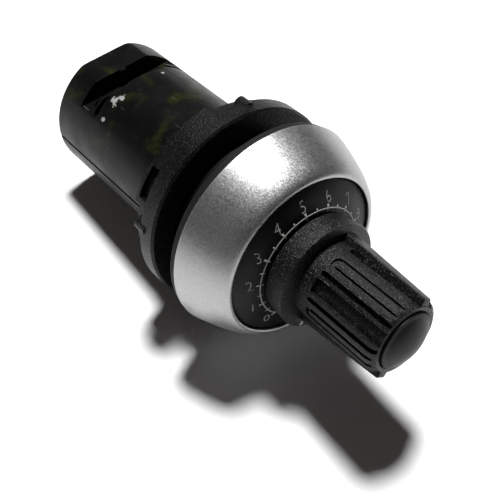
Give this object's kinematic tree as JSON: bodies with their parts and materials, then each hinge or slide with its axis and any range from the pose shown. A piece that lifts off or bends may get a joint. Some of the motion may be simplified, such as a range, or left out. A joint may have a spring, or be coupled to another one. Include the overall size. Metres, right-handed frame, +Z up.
{
  "type": "rotary potentiometer",
  "caption": "Panel-mounted rotary potentiometer with a winged knob, a numbered dial in a satin bezel, a ring nut behind the panel and a round barrel with screw terminals.",
  "frame": {"origin": "on the spindle's axis, at the panel's front face, which is the rear face of the panel seal", "axes": "-Y towards the knob, +Y back through the panel, +Z up through the dial's middle number and the barrel's flat"},
  "size_m": [0.0296, 0.0619, 0.0296],
  "materials": {
    "knob_plastic": "fine spark-eroded grain, black",
    "cap_plastic": "smooth satin, dark grey",
    "satin_silver": "satin metallic silver with a fine sparkle",
    "dial_plastic": "fine matt, black, with a grey printed scale",
    "body_plastic": "moulded, black",
    "barrel_plastic": "moulded, black, with scuffs and faint green stains",
    "nut_plastic": "grainy, black",
    "seal_rubber": "matt, dark grey",
    "brass": "turned",
    "plated_steel": "zinc plated",
    "spring_steel": "blackened",
    "natural_nylon": "natural, moulded",
    "contact_bronze": "stamped spring strip",
    "track_laminate": "pressed laminate",
    "tinned_brass": "tinned strip"
  },
  "bodies": {
    "housing": {"bezel": "satin_silver", "dial_plate": "dial_plastic", "front_body": "body_plastic", "panel_seal": "seal_rubber", "shaft_seal": "seal_rubber", "rear_barrel": "barrel_plastic", "pot_case": "plated_steel", "pot_bushing": "brass", "pot_nut": "plated_steel", "pot_lockwasher": "plated_steel", "track_plate": "track_laminate", "terminal_block": "track_laminate", "solder_tag_left": "tinned_brass", "solder_tag_middle": "tinned_brass", "solder_tag_right": "tinned_brass", "clamp_cage_left": "brass", "clamp_cage_middle": "brass", "clamp_cage_right": "brass", "clamp_screw_left": "plated_steel", "clamp_screw_middle": "plated_steel", "clamp_screw_right": "plated_steel"},
    "rotor": {"knob": "knob_plastic", "knob_cap": "cap_plastic", "collet": "brass", "collet_nut": "brass", "pot_shaft": "plated_steel", "shaft_circlip": "spring_steel", "wiper_carrier": "natural_nylon", "wiper_spring": "contact_bronze"},
    "ring_nut": {"ring_nut": "nut_plastic"}
  },
  "joints": [
    {"name": "knob_turn", "type": "hinge", "parent": "housing", "child": "rotor", "pos_m": [0, 0, 0], "axis": [0, 1, 0], "range_deg": [0, 280]},
    {"name": "nut_travel", "type": "slide", "parent": "housing", "child": "ring_nut", "axis": [0, 1, 0], "range_m": [-0.0029, 0.032]}
  ]
}
